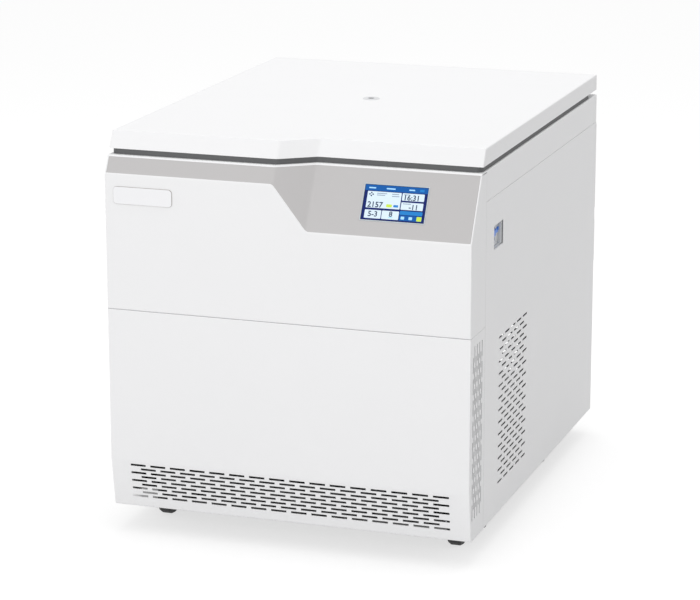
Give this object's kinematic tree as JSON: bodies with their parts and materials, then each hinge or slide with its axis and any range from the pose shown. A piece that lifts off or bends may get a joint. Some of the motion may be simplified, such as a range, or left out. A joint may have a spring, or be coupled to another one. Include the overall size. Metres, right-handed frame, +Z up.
{
  "type": "floor-standing refrigerated blood bag centrifuge",
  "caption": "White floor-standing refrigerated centrifuge with a hinged stepped lid, sloping touch panel, swing-bucket rotor inside, vented sheet covers, casters and levelling feet.",
  "frame": {"origin": "on the floor, below the middle of the whole object's bounding box", "axes": "+X to the operator's right, +Y to the back (the longest side), +Z up; the front cover faces -Y"},
  "size_m": [0.75, 0.981, 0.8182],
  "materials": {
    "white_paint": "satin powder coat",
    "grey_panel": "satin grey panel",
    "display": "glossy display",
    "black_plastic": "matt black plastic",
    "silver_plate": "plain light plate",
    "dark_rubber": "dark rubber",
    "stainless": "brushed stainless steel",
    "plated_steel": "zinc plated steel",
    "black_steel": "black painted steel",
    "lid_liner_plastic": "light grey moulded liner",
    "foam": "rigid foam",
    "aluminium": "turned aluminium",
    "copper": "copper tube",
    "light_plastic": "light grey plastic",
    "blue_plastic": "blue moulded plastic",
    "tread": "black wheel",
    "dark_glass": "dark glass disc"
  },
  "bodies": {
    "cabinet": {"front_lower_cover": "white_paint", "front_upper_cover": "white_paint", "control_panel": "grey_panel", "screen_frame": "black_plastic", "touch_screen": "display", "badge_plate": "silver_plate", "side_panel_left": "white_paint", "side_panel_right": "white_paint", "rear_panel": "white_paint", "rear_covers": "white_paint", "inlet_gland": "black_plastic", "deck": "white_paint", "deck_gasket": "dark_rubber", "hinge_bases": "plated_steel", "lock_housings": "plated_steel", "chamber_bowl": "stainless", "insulation_jacket": "foam", "guard_ring_shelf": "black_steel", "shaft_boot": "dark_rubber", "motor_housing": "black_steel", "motor_plate": "plated_steel", "rubber_mounts": "dark_rubber", "base_frame": "black_steel", "posts_and_rails": "plated_steel", "bulkhead": "plated_steel", "inverter": "aluminium", "control_box": "light_plastic", "circuit_breaker": "light_plastic", "compressor": "black_steel", "condenser": "aluminium", "fan_shroud": "plated_steel", "fan_motor": "black_steel", "refrigerant_circuit": "copper", "caster_plates": "plated_steel", "levelling_feet": "plated_steel"},
    "lid": {"lid_shell": "white_paint", "lid_liner": "lid_liner_plastic", "chamber_seal": "dark_rubber", "port_ring": "aluminium", "port_window": "dark_glass", "hinge_leaves": "plated_steel", "lid_strikers": "plated_steel"},
    "rotor": {"drive_shaft": "plated_steel", "rotor_yoke": "stainless", "rotor_nut": "aluminium"},
    "bucket_body_1": {"bucket_1": "aluminium"},
    "bucket_body_2": {"bucket_2": "aluminium"},
    "bucket_body_3": {"bucket_3": "aluminium"},
    "bucket_body_4": {"bucket_4": "aluminium"},
    "fan": {"fan_blades": "black_plastic"},
    "breaker_toggle": {"breaker_handle": "blue_plastic"},
    "breaker_test": {"test_button": "blue_plastic"},
    "lock_left": {"lock_hook_left": "plated_steel"},
    "lock_right": {"lock_hook_right": "plated_steel"},
    "swivel_left": {"caster_fork_front_left": "plated_steel"},
    "swivel_right": {"caster_fork_front_right": "plated_steel"},
    "wheel_front_left": {"caster_wheel_front_left": "tread"},
    "wheel_front_right": {"caster_wheel_front_right": "tread"},
    "wheel_rear_left": {"caster_wheel_rear_left": "tread"},
    "wheel_rear_right": {"caster_wheel_rear_right": "tread"}
  },
  "joints": [
    {"name": "lid_hinge", "type": "hinge", "parent": "cabinet", "child": "lid", "pos_m": [0, 0.4735, 0.77815], "axis": [-1, 0, 0], "range_deg": [0, 78], "stiffness_Nm_per_rad": 36, "springref_deg": 126.05},
    {"name": "rotor_spin", "type": "hinge", "parent": "cabinet", "child": "rotor", "pos_m": [0, 0.0395, 0.672], "axis": [0, 0, 1], "continuous": true},
    {"name": "bucket_1_swing", "type": "hinge", "parent": "rotor", "child": "bucket_body_1", "pos_m": [0.128, 0.0395, 0.672], "axis": [0, -1, 0], "range_deg": [0, 90]},
    {"name": "bucket_2_swing", "type": "hinge", "parent": "rotor", "child": "bucket_body_2", "pos_m": [0, 0.1675, 0.672], "axis": [1, 0, 0], "range_deg": [0, 90]},
    {"name": "bucket_3_swing", "type": "hinge", "parent": "rotor", "child": "bucket_body_3", "pos_m": [-0.128, 0.0395, 0.672], "axis": [0, 1, 0], "range_deg": [0, 90]},
    {"name": "bucket_4_swing", "type": "hinge", "parent": "rotor", "child": "bucket_body_4", "pos_m": [0, -0.0885, 0.672], "axis": [-1, 0, 0], "range_deg": [0, 90]},
    {"name": "fan_spin", "type": "hinge", "parent": "cabinet", "child": "fan", "pos_m": [0, -0.3325, 0.279], "axis": [0, 1, 0], "continuous": true},
    {"name": "breaker_switch", "type": "hinge", "parent": "cabinet", "child": "breaker_toggle", "pos_m": [0.359, -0.315, 0.629], "axis": [0, 1, 0], "range_deg": [0, 70]},
    {"name": "breaker_test_press", "type": "slide", "parent": "cabinet", "child": "breaker_test", "axis": [-1, 0, 0], "range_m": [0, 0.0015], "stiffness_N_per_m": 400},
    {"name": "lock_hook_left_turn", "type": "hinge", "parent": "cabinet", "child": "lock_left", "pos_m": [-0.18, -0.3805, 0.712], "axis": [-1, 0, 0], "range_deg": [0, 14], "stiffness_Nm_per_rad": 0.05, "springref_deg": -11.46},
    {"name": "lock_hook_right_turn", "type": "hinge", "parent": "cabinet", "child": "lock_right", "pos_m": [0.18, -0.3805, 0.712], "axis": [-1, 0, 0], "range_deg": [0, 14], "stiffness_Nm_per_rad": 0.05, "springref_deg": -11.46},
    {"name": "caster_swivel_left", "type": "hinge", "parent": "cabinet", "child": "swivel_left", "pos_m": [-0.31, -0.3685, 0.072], "axis": [0, 0, 1], "continuous": true},
    {"name": "caster_swivel_right", "type": "hinge", "parent": "cabinet", "child": "swivel_right", "pos_m": [0.31, -0.3685, 0.072], "axis": [0, 0, 1], "continuous": true},
    {"name": "wheel_front_left_roll", "type": "hinge", "parent": "swivel_left", "child": "wheel_front_left", "pos_m": [-0.31, -0.3465, 0.0315], "axis": [1, 0, 0], "continuous": true},
    {"name": "wheel_front_right_roll", "type": "hinge", "parent": "swivel_right", "child": "wheel_front_right", "pos_m": [0.31, -0.3465, 0.0315], "axis": [1, 0, 0], "continuous": true},
    {"name": "wheel_rear_left_roll", "type": "hinge", "parent": "cabinet", "child": "wheel_rear_left", "pos_m": [-0.31, 0.3535, 0.0315], "axis": [1, 0, 0], "continuous": true},
    {"name": "wheel_rear_right_roll", "type": "hinge", "parent": "cabinet", "child": "wheel_rear_right", "pos_m": [0.31, 0.3535, 0.0315], "axis": [1, 0, 0], "continuous": true}
  ],
  "couplings": [
    {"joint": "lock_hook_right_turn", "follows": "lock_hook_left_turn", "ratio": 1}
  ]
}
